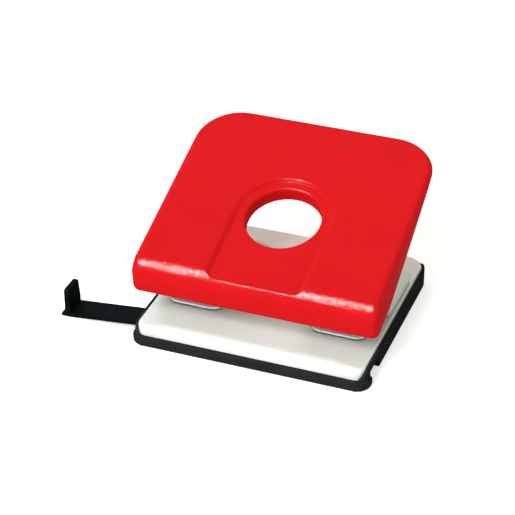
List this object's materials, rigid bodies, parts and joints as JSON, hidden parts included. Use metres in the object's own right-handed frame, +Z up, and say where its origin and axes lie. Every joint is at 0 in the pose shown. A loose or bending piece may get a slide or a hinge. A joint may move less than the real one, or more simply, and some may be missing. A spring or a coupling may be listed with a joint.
{
  "type": "two-hole punch",
  "caption": "Desk punch: a red lever cover with a finger hole tilts over sprung punch pins on a white base plate in a black chip tray, with a pull-out paper guide.",
  "frame": {"origin": "on the table under the middle of the base, in the tray's flat underside", "axes": "+X to the right of someone feeding paper in from the front, along the line of the two holes; +Y to the rear, where the lever rises; +Z up"},
  "size_m": [0.1772, 0.1233, 0.0818],
  "materials": {
    "red_plastic": "fine-grained semi-gloss red moulding",
    "white_paint": "smooth white paint on pressed steel",
    "black_plastic": "satin black moulding",
    "bright_steel": "ground steel",
    "zinc_steel": "zinc-plated steel",
    "spring_steel": "oiled spring steel"
  },
  "bodies": {
    "tray": {"chip_tray": "black_plastic"},
    "guide": {"paper_guide": "black_plastic"},
    "base": {"base_plate": "white_paint", "hinge_rod": "bright_steel", "left_punch_frame": "white_paint", "left_guide_plate": "zinc_steel", "left_rod_clip": "spring_steel", "left_foot_rivet_1": "zinc_steel", "left_foot_rivet_2": "zinc_steel", "left_foot_rivet_3": "zinc_steel", "left_inner_ear_rivet": "zinc_steel", "left_outer_ear_rivet": "zinc_steel", "right_punch_frame": "white_paint", "right_guide_plate": "zinc_steel", "right_rod_clip": "spring_steel", "right_foot_rivet_1": "zinc_steel", "right_foot_rivet_2": "zinc_steel", "right_foot_rivet_3": "zinc_steel", "right_inner_ear_rivet": "zinc_steel", "right_outer_ear_rivet": "zinc_steel"},
    "lever": {"lever_cover": "red_plastic", "pressure_bar": "zinc_steel", "cover_screw_1": "zinc_steel", "cover_screw_2": "zinc_steel", "cover_screw_3": "zinc_steel", "cover_screw_4": "zinc_steel"},
    "left_pin": {"left_punch_pin": "bright_steel", "left_spring_washer": "zinc_steel", "left_pin_clip": "spring_steel", "left_return_spring": "spring_steel"},
    "right_pin": {"right_punch_pin": "bright_steel", "right_spring_washer": "zinc_steel", "right_pin_clip": "spring_steel", "right_return_spring": "spring_steel"}
  },
  "joints": [
    {"name": "tray_hinge", "type": "hinge", "parent": "tray", "child": "base", "pos_m": [0, 0.0578, 0.0093], "axis": [-1, 0, 0], "range_deg": [0, 70]},
    {"name": "lever_hinge", "type": "hinge", "parent": "base", "child": "lever", "pos_m": [0, -0.03, 0.038], "axis": [-1, 0, 0], "range_deg": [0, 26], "stiffness_Nm_per_rad": 0.68, "springref_deg": -22.06},
    {"name": "left_pin_slide", "type": "slide", "parent": "base", "child": "left_pin", "axis": [0, 0, -1], "range_m": [0, 0.0061], "deforming": ["left_return_spring"]},
    {"name": "right_pin_slide", "type": "slide", "parent": "base", "child": "right_pin", "axis": [0, 0, -1], "range_m": [0, 0.0061], "deforming": ["right_return_spring"]},
    {"name": "guide_slide", "type": "slide", "parent": "tray", "child": "guide", "axis": [1, 0, 0], "range_m": [-0.0435, 0.0385]}
  ],
  "couplings": [
    {"joint": "left_pin_slide", "follows": "lever_hinge", "m_per_rad": 0.01329},
    {"joint": "right_pin_slide", "follows": "lever_hinge", "m_per_rad": 0.01329}
  ]
}
